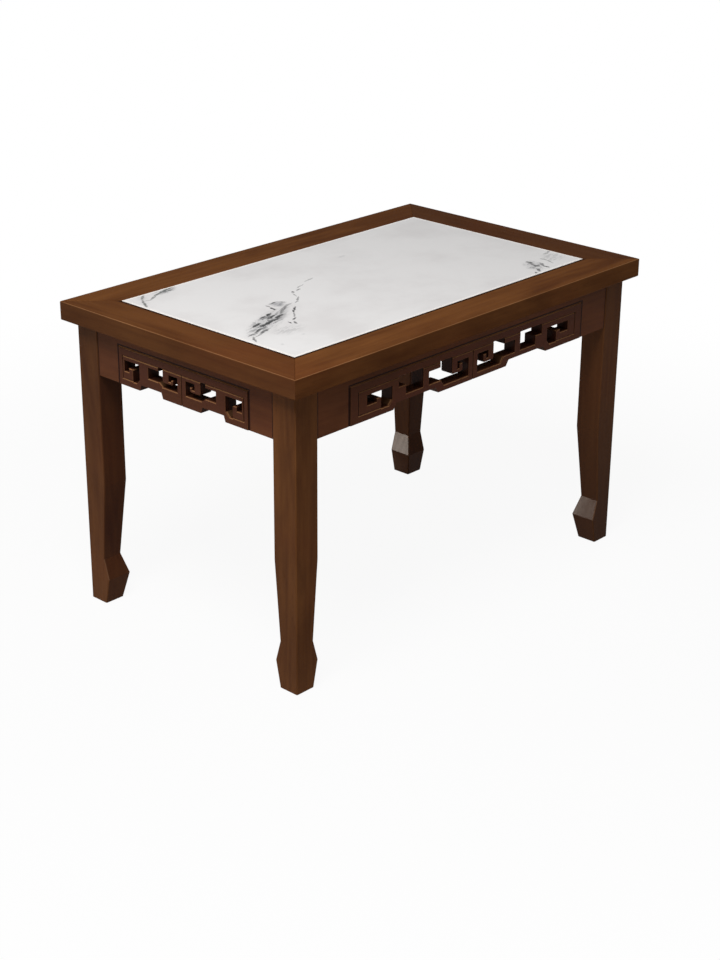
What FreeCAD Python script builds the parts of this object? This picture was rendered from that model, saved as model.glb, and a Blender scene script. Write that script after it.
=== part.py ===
import FreeCAD, Part
import math
import os
from FreeCAD import Vector

# A dining table in the Chinese manner: a stone slab in a mitred wooden frame, aprons with pierced fret
# panels, and square legs that narrow to an ankle and end in a hoof turned inwards.
# Millimetres, +Z up, +X along the table, front side towards -Y.
# The origin is on the floor, under the middle of the top.

# Whole table
TABLE_LENGTH = 1200.0
TABLE_WIDTH = 750.0
TABLE_HEIGHT = 750.0

# Top frame: four mitred rails, rebated on the inside for the slab and its board
TOP_THICKNESS = 45.0
RAIL_FACE = 98.0
LEDGE_WIDTH = 20.0
RAIL_ROUND = 2.5
RAIL_ARRIS = 0.8
SEAM_DEPTH = 1.0

# Loose tenons that hold the mitres
MITRE_TENON_LENGTH = 60.0
MITRE_TENON_WIDTH = 50.0
MITRE_TENON_THICKNESS = 10.0
MITRE_TENON_INSET = 82.0

# Stone slab, the beads of silicone under it and the plywood board that carries it
SLAB_THICKNESS = 12.0
SLAB_GAP = 0.6
SLAB_ARRIS = 1.0
BEAD_THICKNESS = 1.0
BEAD_WIDTH = 18.0
BEAD_LENGTH_SHARE = 0.86
BEAD_PLACE_SHARES = (-0.36, 0.0, 0.36)
BOARD_THICKNESS = 14.0
BOARD_GAP = 0.8

# Cross battens under the board, tenoned into the ledges of the long rails
BATTEN_WIDTH = 50.0
BATTEN_ARRIS = 2.0
BATTEN_TENON_LENGTH = 12.0
BATTEN_TENON_THICKNESS = 8.0
BATTEN_TENON_SHOULDER = 6.0
BATTEN_NAMES = ("left", "middle", "right")
BATTEN_PLACE_SHARES = (-0.3, 0.0, 0.3)
BATTEN_SCREW_SHARES = (-0.3, 0.3)
BATTEN_SCREW_LENGTH = 28.0

# Legs: the two outer faces are plumb, the two inner faces are shaped
TOP_OVERHANG = 26.0
LEG_SIDE = 67.5
KNEE_HEIGHT = 310.0
ANKLE_HEIGHT = 116.0
ANKLE_SIDE = 52.0
HOOF_HEIGHT = 65.0
HOOF_SIDE = 66.5
FOOT_SIDE = 53.0
LEG_ARRIS = 2.0
LEG_BOLT_FLAT = 14.0

# Aprons, with stub tenons into the legs, and cheeks on both sides of the window for the fret panel
APRON_HEIGHT = 118.0
LONG_APRON_CHEEK = 98.0
SHORT_APRON_CHEEK = 72.0
APRON_THICKNESS = 30.0
APRON_SETBACK = 2.0
APRON_TENON_LENGTH = 15.0
APRON_TENON_THICKNESS = 12.0
APRON_TENON_SHOULDER = 15.0

# Fret panels, slid up into a groove in the apron's window, with a V line cut round their pattern
FRET_HEIGHT = 90.0
FRET_THICKNESS = 32.0
FRET_GAP = 0.6
FRET_PROUD = 2.0
FRET_ARRIS = 3.0
OPENING_ARRIS = 1.6
FRET_ROUND = 7.0
FRET_TONGUE_LENGTH = 6.0
FRET_TONGUE_THICKNESS = 9.0
LINE_DEPTH = 2.0
LINE_TOP_INSET = 20.0
LINE_FOOT_INSET = 16.0
LONG_LINE_INSET = 27.0
SHORT_LINE_INSET = 14.0

# How far a cutter for a bevelled edge runs out in front of the face, as a share of the bevel
BEVEL_LEAD_SHARE = 0.2

# Fret pattern of one half panel, from its middle outwards and from its bottom up, as shares of the
# half length and the height. The lower edge steps up between the middle and the ends. The third
# value, where there is one, is the corner's share of the rounding.
FRET_EDGE_SHARES = ((0.294, 0.0), (0.318, 0.156), (0.638, 0.156), (0.661, 0.0))
LONG_OPENING_SHARES = {
    "middle_hook": (
        (0.040, 0.139), (0.247, 0.139), (0.272, 0.294), (0.371, 0.294), (0.371, 0.633), (0.276, 0.633),
        (0.276, 0.795), (0.181, 0.795), (0.181, 0.337, 0.8), (0.090, 0.337, 0.8), (0.090, 0.550),
        (0.118, 0.550), (0.118, 0.430), (0.133, 0.430), (0.133, 0.628), (0.040, 0.628),
    ),
    "step": (
        (0.423, 0.294), (0.559, 0.294), (0.559, 0.536), (0.617, 0.536), (0.617, 0.795), (0.423, 0.795),
    ),
    "end_hook": (
        (0.696, 0.156), (0.757, 0.156), (0.757, 0.461, 0.6), (0.795, 0.461), (0.795, 0.367),
        (0.866, 0.367), (0.866, 0.622), (0.672, 0.622), (0.672, 0.278),
    ),
}
SHORT_OPENING_SHARES = {
    "middle_hook": (
        (0.067, 0.300), (0.305, 0.300), (0.362, 0.394), (0.519, 0.394), (0.519, 0.678), (0.362, 0.678),
        (0.362, 0.778), (0.295, 0.778), (0.295, 0.433, 0.8), (0.129, 0.433, 0.8), (0.129, 0.561),
        (0.162, 0.561), (0.162, 0.506), (0.198, 0.506), (0.198, 0.672), (0.067, 0.672),
    ),
    "end_hook": (
        (0.714, 0.156), (0.766, 0.156), (0.766, 0.489, 0.6), (0.833, 0.489), (0.833, 0.378),
        (0.902, 0.378), (0.902, 0.661), (0.667, 0.661), (0.667, 0.267),
    ),
}
FOOT_LINE_START_SHARE = 0.715

# Corner blocks behind the aprons, screwed to both and up into the top
BLOCK_THICKNESS = 24.0
BLOCK_HEIGHT = 70.0
BLOCK_LEG_GAP = 6.0
BLOCK_SCREW_SEAT = 8.0
BLOCK_SCREW_BORE = 5.0
BLOCK_SCREW_LENGTH = 28.0
TOP_SCREW_SEAT = 22.0
TOP_SCREW_LENGTH = 42.0
TOP_SCREW_OFFSET = 22.0

# How many sides the fasteners are drawn with: round ones get few, to stay light
SCREW_SIDES = 8
BOLT_SIDES = 12
NUT_SIDES = 6

# Hanger bolts that draw each leg up to its two aprons
BOLT_RADIUS = 4.0
BOLT_GRIP = 38.0
BOLT_SPARE = 4.0
BOLT_HOLE_RADIUS = 4.8
WASHER_RADIUS = 9.0
WASHER_THICKNESS = 1.6
NUT_FLATS = 13.0
NUT_THICKNESS = 6.5

# Steel angle brackets that hold the long sides of the top down between the corners
BRACKET_ARM = 26.0
BRACKET_WIDTH = 30.0
BRACKET_THICKNESS = 2.0
BRACKET_BEND = 3.0
BRACKET_HOLE_PLACE = 15.0
BRACKET_SCREW_LENGTH = 18.0
BRACKET_PLACE_SHARES = (-0.2, 0.2)

# Wood screws, all of one gauge
SCREW_RADIUS = 2.0
SCREW_HEAD_RADIUS = 4.0
SCREW_HEAD_HEIGHT = 2.4

# Fits: glued wood joints, fasteners in their holes, how far cutters run past a face, and how close
# two places count as one
JOINT_CLEARANCE = 0.2
FASTENER_CLEARANCE = 0.1
OVERRUN = 5.0
SAME_PLACE = 0.01

# Levels and places that follow from the sizes above
UNDERSIDE = TABLE_HEIGHT - TOP_THICKNESS
LEDGE_THICKNESS = TOP_THICKNESS - SLAB_THICKNESS - BEAD_THICKNESS - BOARD_THICKNESS
LEDGE_LEVEL = UNDERSIDE + LEDGE_THICKNESS
RAIL_WIDTH = RAIL_FACE + LEDGE_WIDTH
APRON_BOTTOM = UNDERSIDE - APRON_HEIGHT
APRON_FACE = TOP_OVERHANG + APRON_SETBACK
APRON_BACK = APRON_FACE + APRON_THICKNESS
FLAT_DISTANCE = (2 * LEG_SIDE - LEG_BOLT_FLAT) / math.sqrt(2)
BLOCK_NEAR = FLAT_DISTANCE + BLOCK_LEG_GAP
BLOCK_FAR = BLOCK_NEAR + BLOCK_THICKNESS
BLOCK_MIDDLE = UNDERSIDE - BLOCK_HEIGHT / 2
LEG_CORNER = Vector(TOP_OVERHANG - TABLE_LENGTH / 2, TOP_OVERHANG - TABLE_WIDTH / 2, 0)
ORIGIN = Vector(0, 0, 0)
UP = Vector(0, 0, 1)
INWARD = Vector(1, 1, 0) / math.sqrt(2)
SIDEWAYS = Vector(1, -1, 0) / math.sqrt(2)

# Each side is modelled as the front and turned about the upright axis
TURN_DEGREES = {"front": 0, "right": 90, "back": 180, "left": 270}
LONG_SIDES = ("front", "back")


def in_plan(x, y):
    """A point of an outline drawn on the floor."""
    return Vector(x, y, 0)


def in_front(x, z):
    """A point of an outline drawn on the upright plane through the table's length."""
    return Vector(x, 0, z)


def in_end(y, z):
    """A point of an outline drawn on the upright plane across the table."""
    return Vector(0, y, z)


def rounded_face(corners, plane):
    """A face through the corners (u, v, radius), with an arc wherever the radius isn't zero."""
    points = [plane(u, v) for u, v, radius in corners]
    starts = []
    ends = []
    arcs = []
    for index, corner in enumerate(corners):
        here = points[index]
        back = (points[index - 1] - here).normalize()
        ahead = (points[(index + 1) % len(points)] - here).normalize()
        radius = corner[2]
        half_angle = back.getAngle(ahead) / 2
        reach = radius / math.tan(half_angle)
        starts.append(here + back * reach)
        ends.append(here + ahead * reach)
        if radius > 0:
            bisector = (back + ahead).normalize()
            middle = here + bisector * (radius / math.sin(half_angle) - radius)
            arcs.append(Part.Arc(starts[-1], middle, ends[-1]).toShape())
        else:
            arcs.append(None)
    edges = []
    for index, arc in enumerate(arcs):
        if arc is not None:
            edges.append(arc)
        edges.append(Part.makeLine(ends[index], starts[(index + 1) % len(starts)]))
    return Part.Face(Part.Wire(edges))


def centred_box(length, width, height):
    """A box with its middle at the origin."""
    return Part.makeBox(length, width, height, Vector(-length / 2, -width / 2, -height / 2))


def turned(shape, degrees):
    """A copy turned about the table's upright axis."""
    return shape.rotated(ORIGIN, UP, degrees)


def in_corners(shape):
    """The front left corner's shape in all four corners, by corner name."""
    right = shape.mirror(ORIGIN, Vector(1, 0, 0))
    return {
        "front_left": shape,
        "front_right": right,
        "back_left": shape.mirror(ORIGIN, Vector(0, 1, 0)),
        "back_right": turned(shape, 180),
    }


def aimed(shape, point, direction):
    """A copy of a shape drawn along +Z, moved to the point and aimed along the direction."""
    copy = shape.copy()
    copy.Placement = FreeCAD.Placement(point, FreeCAD.Rotation(UP, direction))
    return copy


def flat_face(points):
    """A flat face through the points."""
    return Part.Face(Part.makePolygon(points + points[:1]))


def prism(radius, height, sides):
    """A regular prism that stands on the origin."""
    points = []
    for step in range(sides):
        angle = 2 * math.pi * (step + 0.5) / sides
        points.append(Vector(radius * math.cos(angle), radius * math.sin(angle), 0))
    return flat_face(points).extrude(UP * height)


def screw(length):
    """A wood screw: the head seats at the origin and the shank runs up."""
    head = prism(SCREW_HEAD_RADIUS, SCREW_HEAD_HEIGHT, SCREW_SIDES)
    head.translate(-UP * SCREW_HEAD_HEIGHT)
    return head.fuse(prism(SCREW_RADIUS, length, SCREW_SIDES))


def screw_hole(length):
    """The hole that a screw of this length fills, open below its head."""
    return prism(SCREW_RADIUS + FASTENER_CLEARANCE, length + FASTENER_CLEARANCE, SCREW_SIDES)


def side_sizes(side):
    """Length along a side, and distance across the table from it."""
    return (TABLE_LENGTH, TABLE_WIDTH) if side in LONG_SIDES else (TABLE_WIDTH, TABLE_LENGTH)


def clear_span(along):
    """Length of an apron between its two legs."""
    return along - 2 * (TOP_OVERHANG + LEG_SIDE)


def fret_length(side):
    """Length of a fret panel between the cheeks of its apron, without its tongue."""
    cheek = LONG_APRON_CHEEK if side in LONG_SIDES else SHORT_APRON_CHEEK
    return clear_span(side_sizes(side)[0]) - 2 * cheek


def bracket_places():
    """Where the brackets stand along a long side, measured from its middle."""
    return [share * clear_span(TABLE_LENGTH) for share in BRACKET_PLACE_SHARES]


def batten_places():
    """Middle of each batten along the table, by name."""
    opening = TABLE_LENGTH - 2 * RAIL_FACE
    return {name: share * opening for name, share in zip(BATTEN_NAMES, BATTEN_PLACE_SHARES)}


def bracket_screws():
    """Points and directions of the front brackets' screws."""
    apron_back = APRON_BACK - TABLE_WIDTH / 2
    places = []
    for x in bracket_places():
        into_top = Vector(x, apron_back + BRACKET_HOLE_PLACE, UNDERSIDE - BRACKET_THICKNESS)
        into_apron = Vector(x, apron_back + BRACKET_THICKNESS, UNDERSIDE - BRACKET_HOLE_PLACE)
        places.append((into_top, UP))
        places.append((into_apron, Vector(0, -1, 0)))
    return places


def block_screws():
    """Points and directions of the front left block's screws, one into each apron."""
    contact = (BLOCK_NEAR + BLOCK_FAR) / math.sqrt(2) - (APRON_SETBACK + APRON_THICKNESS)
    seat = APRON_SETBACK + APRON_THICKNESS + BLOCK_SCREW_SEAT
    return [
        (LEG_CORNER + Vector(contact, seat, BLOCK_MIDDLE), Vector(0, -1, 0)),
        (LEG_CORNER + Vector(seat, contact, BLOCK_MIDDLE), Vector(-1, 0, 0)),
    ]


def top_screw():
    """Point and direction of the front left block's screw up into the top, beside the bolt."""
    middle = LEG_CORNER + INWARD * (BLOCK_NEAR + BLOCK_FAR) / 2
    return middle + SIDEWAYS * TOP_SCREW_OFFSET + UP * (UNDERSIDE - TOP_SCREW_SEAT), UP


def mitre_tenon(clearance):
    """The front left loose tenon, or its pocket when a clearance is given."""
    slack = 2 * clearance
    tenon = centred_box(
        MITRE_TENON_LENGTH + slack, MITRE_TENON_WIDTH + slack, MITRE_TENON_THICKNESS + slack
    )
    corner = Vector(-TABLE_LENGTH / 2, -TABLE_WIDTH / 2, UNDERSIDE + TOP_THICKNESS / 2)
    tenon.rotate(ORIGIN, UP, -45)
    tenon.translate(corner + INWARD * MITRE_TENON_INSET)
    return tenon


def seam_groove():
    """The fine V cut along the front left mitre on the top face."""
    corner = Vector(-TABLE_LENGTH / 2, -TABLE_WIDTH / 2, TABLE_HEIGHT)
    start = corner - INWARD * OVERRUN
    mouth = SEAM_DEPTH + OVERRUN
    points = [
        start - UP * SEAM_DEPTH,
        start + SIDEWAYS * mouth + UP * OVERRUN,
        start - SIDEWAYS * mouth + UP * OVERRUN,
    ]
    run = RAIL_FACE * math.sqrt(2) + OVERRUN
    return flat_face(points).extrude(INWARD * run)


def batten_body(name, clearance):
    """A batten with its two tenons, or the cutter for its mortises when a clearance is given."""
    length = TABLE_WIDTH - 2 * RAIL_WIDTH
    x = batten_places()[name]
    tenon = centred_box(
        BATTEN_WIDTH - 2 * BATTEN_TENON_SHOULDER + 2 * clearance,
        length + 2 * (BATTEN_TENON_LENGTH + clearance),
        BATTEN_TENON_THICKNESS + 2 * clearance,
    )
    tenon.translate(Vector(x, 0, UNDERSIDE + LEDGE_THICKNESS / 2))
    if clearance > 0:
        return tenon
    half = BATTEN_WIDTH / 2
    section = [
        (x - half, UNDERSIDE, BATTEN_ARRIS),
        (x + half, UNDERSIDE, BATTEN_ARRIS),
        (x + half, LEDGE_LEVEL, 0),
        (x - half, LEDGE_LEVEL, 0),
    ]
    body = rounded_face(section, in_front).extrude(Vector(0, length, 0))
    body.translate(Vector(0, -length / 2, 0))
    return body.fuse(tenon).removeSplitter()


def batten_screws():
    """Points and directions of the screws that go up through the battens into the board."""
    length = TABLE_WIDTH - 2 * RAIL_WIDTH
    places = []
    for x in batten_places().values():
        for share in BATTEN_SCREW_SHARES:
            places.append((Vector(x, share * length, UNDERSIDE), UP))
    return places


def holes_for(places, length):
    """Holes for screws of one length at the places given."""
    return [aimed(screw_hole(length), point, direction) for point, direction in places]


def top_rail(side):
    """One mitred rail of the top frame: rounded outer edges, a rebate and pockets at both mitres."""
    along, across = side_sizes(side)
    outer = -across / 2
    section = [
        (outer, UNDERSIDE, RAIL_ROUND),
        (outer + RAIL_WIDTH, UNDERSIDE, RAIL_ARRIS),
        (outer + RAIL_WIDTH, LEDGE_LEVEL, 0),
        (outer + RAIL_FACE, LEDGE_LEVEL, 0),
        (outer + RAIL_FACE, TABLE_HEIGHT, RAIL_ARRIS),
        (outer, TABLE_HEIGHT, RAIL_ROUND),
    ]
    bar = rounded_face(section, in_end).extrude(Vector(along, 0, 0))
    bar.translate(Vector(-along / 2, 0, 0))
    mitred = [
        (-along / 2, outer, 0),
        (along / 2, outer, 0),
        (along / 2 - RAIL_WIDTH, outer + RAIL_WIDTH, 0),
        (RAIL_WIDTH - along / 2, outer + RAIL_WIDTH, 0),
    ]
    rail = bar.common(rounded_face(mitred, in_plan).extrude(Vector(0, 0, TABLE_HEIGHT)))
    rail = turned(rail, TURN_DEGREES[side])
    cutters = list(in_corners(mitre_tenon(JOINT_CLEARANCE)).values())
    cutters += list(in_corners(seam_groove()).values())
    for hole in holes_for([top_screw()], TOP_SCREW_LENGTH):
        cutters += list(in_corners(hole).values())
    if side in LONG_SIDES:
        cutters += on_long_sides(holes_for(bracket_screws(), BRACKET_SCREW_LENGTH))
        cutters += [batten_body(name, JOINT_CLEARANCE) for name in BATTEN_NAMES]
    return rail.cut(cutters)


def stone_slab():
    """The slab, flush with the frame, with a polished arris round its upper edge."""
    length = TABLE_LENGTH - 2 * (RAIL_FACE + SLAB_GAP)
    width = TABLE_WIDTH - 2 * (RAIL_FACE + SLAB_GAP)
    slab = Part.makeBox(length, width, SLAB_THICKNESS)
    slab.translate(Vector(-length / 2, -width / 2, TABLE_HEIGHT - SLAB_THICKNESS))
    upper = [edge for edge in slab.Edges if edge.BoundBox.ZMin > TABLE_HEIGHT - SLAB_ARRIS]
    return slab.makeChamfer(SLAB_ARRIS, upper)


def slab_beads():
    """Flattened beads of silicone that bed the slab on its board."""
    length = BEAD_LENGTH_SHARE * (TABLE_LENGTH - 2 * RAIL_FACE)
    level = TABLE_HEIGHT - SLAB_THICKNESS - BEAD_THICKNESS / 2
    beads = []
    for share in BEAD_PLACE_SHARES:
        bead = centred_box(length, BEAD_WIDTH, BEAD_THICKNESS)
        bead.translate(Vector(0, share * (TABLE_WIDTH - 2 * RAIL_FACE), level))
        beads.append(bead)
    return beads


def backing_board():
    """The plywood board in the rebate, with pilot holes for the batten screws."""
    length = TABLE_LENGTH - 2 * (RAIL_FACE + BOARD_GAP)
    width = TABLE_WIDTH - 2 * (RAIL_FACE + BOARD_GAP)
    board = Part.makeBox(length, width, BOARD_THICKNESS, Vector(-length / 2, -width / 2, LEDGE_LEVEL))
    return board.cut(holes_for(batten_screws(), BATTEN_SCREW_LENGTH))


def batten(name):
    """A cross batten with its screw holes."""
    return batten_body(name, 0).cut(holes_for(batten_screws(), BATTEN_SCREW_LENGTH))


def leg_section(side, level):
    """The front left leg's outline at one level: a square in the outer corner, its edges eased."""
    near = LEG_ARRIS
    far = side - LEG_ARRIS
    points = [
        (near, 0), (far, 0), (side, near), (side, far), (far, side), (near, side), (0, far), (0, near),
    ]
    return [LEG_CORNER + Vector(x, y, level) for x, y in points]


def apron_tenon(clearance):
    """Both apron tenons in the front left leg, or their mortises when a clearance is given."""
    start = LEG_SIDE - APRON_TENON_LENGTH - clearance
    side = APRON_SETBACK + (APRON_THICKNESS - APRON_TENON_THICKNESS) / 2 - clearance
    length = APRON_TENON_LENGTH + clearance + OVERRUN
    thickness = APRON_TENON_THICKNESS + 2 * clearance
    height = APRON_HEIGHT - 2 * APRON_TENON_SHOULDER + 2 * clearance
    level = APRON_BOTTOM + APRON_TENON_SHOULDER - clearance
    along_table = Part.makeBox(length, thickness, height, LEG_CORNER + Vector(start, side, level))
    across_table = Part.makeBox(thickness, length, height, LEG_CORNER + Vector(side, start, level))
    return [along_table, across_table]


def front_left_leg():
    """A leg of flat facets from foot to shoulder, with mortises, the bolt flat and the bolt hole."""
    levels = [
        (FOOT_SIDE, 0),
        (HOOF_SIDE, HOOF_HEIGHT),
        (ANKLE_SIDE, ANKLE_HEIGHT),
        (LEG_SIDE, KNEE_HEIGHT),
        (LEG_SIDE, UNDERSIDE),
    ]
    rings = [leg_section(side, level) for side, level in levels]
    faces = [flat_face(rings[0]), flat_face(rings[-1])]
    for lower, upper in zip(rings, rings[1:]):
        for index in range(len(lower)):
            faces.append(flat_face([lower[index - 1], lower[index], upper[index], upper[index - 1]]))
    leg = Part.makeSolid(Part.makeShell(faces)).removeSplitter()
    shoulder = LEG_SIDE - LEG_BOLT_FLAT
    beyond = LEG_SIDE + OVERRUN
    flat = [(beyond, shoulder - OVERRUN, 0), (beyond, beyond, 0), (shoulder - OVERRUN, beyond, 0)]
    corner = rounded_face(flat, in_plan).extrude(UP * (APRON_HEIGHT + OVERRUN))
    corner.translate(LEG_CORNER + UP * APRON_BOTTOM)
    cutters = [corner] + apron_tenon(JOINT_CLEARANCE)
    start = LEG_CORNER + INWARD * (FLAT_DISTANCE - BOLT_GRIP - FASTENER_CLEARANCE) + UP * BLOCK_MIDDLE
    cutters.append(aimed(prism(BOLT_RADIUS + FASTENER_CLEARANCE, LEG_SIDE, BOLT_SIDES), start, INWARD))
    return leg.cut(cutters)


def apron(side):
    """An apron board with stub tenons, the fret's window and groove, and its screw holes."""
    along, across = side_sizes(side)
    face = APRON_FACE - across / 2
    span = clear_span(along)
    board = Part.makeBox(span, APRON_THICKNESS, APRON_HEIGHT, Vector(-span / 2, face, APRON_BOTTOM))
    tenon = centred_box(
        span + 2 * APRON_TENON_LENGTH,
        APRON_TENON_THICKNESS,
        APRON_HEIGHT - 2 * APRON_TENON_SHOULDER,
    )
    tenon.translate(Vector(0, face + APRON_THICKNESS / 2, APRON_BOTTOM + APRON_HEIGHT / 2))
    wide = fret_length(side) + 2 * FRET_GAP
    window = Part.makeBox(
        wide,
        APRON_THICKNESS + 2 * OVERRUN,
        FRET_HEIGHT + FRET_GAP + OVERRUN,
        Vector(-wide / 2, face - OVERRUN, APRON_BOTTOM - OVERRUN),
    )
    deep = FRET_TONGUE_LENGTH + JOINT_CLEARANCE
    thick = FRET_TONGUE_THICKNESS + 2 * JOINT_CLEARANCE
    half = fret_length(side) / 2 + deep
    groove = Part.makeBox(
        2 * half,
        thick,
        FRET_HEIGHT + deep + OVERRUN,
        Vector(-half, face + (APRON_THICKNESS - thick) / 2, APRON_BOTTOM - OVERRUN),
    )
    cutters = [window, groove]
    if side in LONG_SIDES:
        cutters += holes_for(bracket_screws(), BRACKET_SCREW_LENGTH)
    shape = turned(board.fuse(tenon).removeSplitter().cut(cutters), TURN_DEGREES[side])
    block_holes = []
    for hole in holes_for(block_screws(), BLOCK_SCREW_LENGTH):
        block_holes += list(in_corners(hole).values())
    return shape.cut(block_holes)


def fret_corners(shares, half):
    """Corners (x, z, radius) on the front from a table of fret shares."""
    corners = []
    for along_share, up_share, *round_share in shares:
        radius = FRET_ROUND * sum(round_share)
        corners.append((along_share * half, APRON_BOTTOM + up_share * FRET_HEIGHT, radius))
    return corners


def fret_outline(half, top):
    """Corners of a fret panel's outline, with its stepped lower edge, drawn on the front."""
    steps = fret_corners(FRET_EDGE_SHARES, half)
    right = steps + [(half, APRON_BOTTOM, 0), (half, top, 0)]
    left = [(-x, z, radius) for x, z, radius in reversed(right)]
    return right + left


def grown(corners, amount):
    """An anticlockwise outline grown by an amount, or shrunk by a negative one, arcs included."""
    result = []
    for index, (u, v, radius) in enumerate(corners):
        before = corners[index - 1]
        after = corners[(index + 1) % len(corners)]
        arrive = Vector(u - before[0], v - before[1], 0).normalize()
        leave = Vector(after[0] - u, after[1] - v, 0).normalize()
        normal = Vector(arrive.y + leave.y, -arrive.x - leave.x, 0)
        move = normal * (amount / (1 + arrive.dot(leave)))
        bulge = amount if arrive.cross(leave).z > 0 else -amount
        result.append((u + move.x, v + move.y, radius + bulge if radius > 0 else 0))
    return result


def flared(corners, near, far, growth):
    """A solid between two upright planes that grows evenly from the far one to the near one."""
    wires = []
    for outline, y in ((corners, far), (grown(corners, growth), near)):
        face = rounded_face(outline, in_front)
        face.translate(Vector(0, y, 0))
        wires.append(face.OuterWire)
    return Part.makeLoft(wires, True, True)


def bevelled(corners, face, depth, side):
    """A cutter that slopes from the corners at a depth out to the face: wider, or narrower if side is -1."""
    lead = BEVEL_LEAD_SHARE * depth
    return flared(corners, face - lead, face + depth, side * (lead + depth))


def fret_lines(half, inset, face):
    """The V line round a fret's pattern: its top, both ends and the feet as far as the end openings."""
    low = APRON_BOTTOM + LINE_FOOT_INSET
    high = APRON_BOTTOM + FRET_HEIGHT - LINE_TOP_INSET
    edge = half - inset
    frame = [(-edge, low, 0), (edge, low, 0), (edge, high, 0), (-edge, high, 0)]
    ring = bevelled(frame, face, LINE_DEPTH, 1).cut(bevelled(frame, face, LINE_DEPTH, -1))
    reach = FOOT_LINE_START_SHARE * half
    uncut = Part.makeBox(
        2 * reach, 2 * OVERRUN, FRET_HEIGHT / 2, Vector(-reach, face - OVERRUN, APRON_BOTTOM)
    )
    return ring.cut(uncut)


def is_rim(edge, y, half, top):
    """Whether an edge is on the front rim of a fret panel, at its ends or its top."""
    box = edge.BoundBox
    in_face = box.YLength < SAME_PLACE and abs(box.Center.y - y) < SAME_PLACE
    at_end = abs(abs(box.Center.x) - half) < SAME_PLACE
    at_top = abs(box.Center.z - top) < SAME_PLACE
    return in_face and (at_end or at_top)


def fret_panel(side):
    """A pierced panel: eased rim, hooked openings, cut lines, and a tongue on three edges."""
    along, across = side_sizes(side)
    half = fret_length(side) / 2
    line_inset = LONG_LINE_INSET if side in LONG_SIDES else SHORT_LINE_INSET
    openings = LONG_OPENING_SHARES if side in LONG_SIDES else SHORT_OPENING_SHARES
    apron_face = APRON_FACE - across / 2
    face = apron_face - FRET_PROUD
    top = APRON_BOTTOM + FRET_HEIGHT

    plate = rounded_face(fret_outline(half, top), in_front).extrude(Vector(0, FRET_THICKNESS, 0))
    plate.translate(Vector(0, face, 0))
    rim = [edge for edge in plate.Edges if is_rim(edge, face, half, top)]
    plate = plate.makeChamfer(FRET_ARRIS, rim)

    cutters = [fret_lines(half, line_inset, face)]
    for shares in openings.values():
        corners = fret_corners(shares, half)
        bore = rounded_face(corners, in_front).extrude(Vector(0, FRET_THICKNESS + OVERRUN, 0))
        bore.translate(Vector(0, face, 0))
        for cutter in (bore, bevelled(corners, face, OPENING_ARRIS, 1)):
            cutters += [cutter, cutter.mirror(ORIGIN, Vector(1, 0, 0))]
    reach = LINE_DEPTH + OVERRUN
    vee = [(-reach, face - OVERRUN, 0), (reach, face - OVERRUN, 0), (0, face + LINE_DEPTH, 0)]
    groove = rounded_face(vee, in_plan).extrude(UP * (FRET_HEIGHT - LINE_TOP_INSET + OVERRUN))
    groove.translate(UP * (APRON_BOTTOM - OVERRUN))
    cutters.append(groove)
    panel = plate.cut(cutters)

    wide = half + FRET_TONGUE_LENGTH
    tongue = Part.makeBox(
        2 * wide,
        FRET_TONGUE_THICKNESS,
        FRET_HEIGHT + FRET_TONGUE_LENGTH,
        Vector(-wide, apron_face + (APRON_THICKNESS - FRET_TONGUE_THICKNESS) / 2, APRON_BOTTOM),
    )
    inside = Part.makeBox(
        2 * half, APRON_THICKNESS, FRET_HEIGHT + OVERRUN, Vector(-half, apron_face, APRON_BOTTOM - OVERRUN)
    )
    return turned(panel.fuse(tongue.cut(inside)).removeSplitter(), TURN_DEGREES[side])


def front_left_block():
    """A hardwood block across the corner, bored for the bolt and counterbored for its screws."""
    back = APRON_SETBACK + APRON_THICKNESS
    near = BLOCK_NEAR * math.sqrt(2) - back
    far = BLOCK_FAR * math.sqrt(2) - back
    plan = [(near, back, 0), (far, back, 0), (back, far, 0), (back, near, 0)]
    block = rounded_face(plan, in_plan).extrude(UP * BLOCK_HEIGHT)
    block.translate(LEG_CORNER + UP * (UNDERSIDE - BLOCK_HEIGHT))
    start = LEG_CORNER + INWARD * (BLOCK_NEAR - OVERRUN) + UP * BLOCK_MIDDLE
    cutters = [aimed(prism(BOLT_HOLE_RADIUS, BLOCK_THICKNESS + 2 * OVERRUN, BOLT_SIDES), start, INWARD)]
    cutters += holes_for(block_screws(), BLOCK_SCREW_LENGTH)
    cutters += holes_for([top_screw()], TOP_SCREW_LENGTH)
    for point, direction in block_screws() + [top_screw()]:
        cutters.append(aimed(prism(BLOCK_SCREW_BORE, BLOCK_HEIGHT, SCREW_SIDES), point, -direction))
    return block.cut(cutters)


def hanger_bolt():
    """A hanger bolt along +Z, from its end in the leg to its spare thread past the nut."""
    length = BOLT_GRIP + BLOCK_LEG_GAP + BLOCK_THICKNESS + WASHER_THICKNESS + NUT_THICKNESS + BOLT_SPARE
    return prism(BOLT_RADIUS, length, BOLT_SIDES)


def washer():
    """A plain washer along +Z."""
    disc = prism(WASHER_RADIUS, WASHER_THICKNESS, BOLT_SIDES)
    return disc.cut(prism(BOLT_HOLE_RADIUS, WASHER_THICKNESS, BOLT_SIDES))


def nut():
    """A hexagon nut along +Z."""
    body = prism(NUT_FLATS / math.sqrt(3), NUT_THICKNESS, NUT_SIDES)
    return body.cut(prism(BOLT_RADIUS + FASTENER_CLEARANCE, NUT_THICKNESS, BOLT_SIDES))


def on_bolts(shape, distance):
    """A shape on every hanger bolt, at a distance from the leg's outer corner."""
    place = LEG_CORNER + INWARD * distance + UP * BLOCK_MIDDLE
    return list(in_corners(aimed(shape, place, INWARD)).values())


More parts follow.
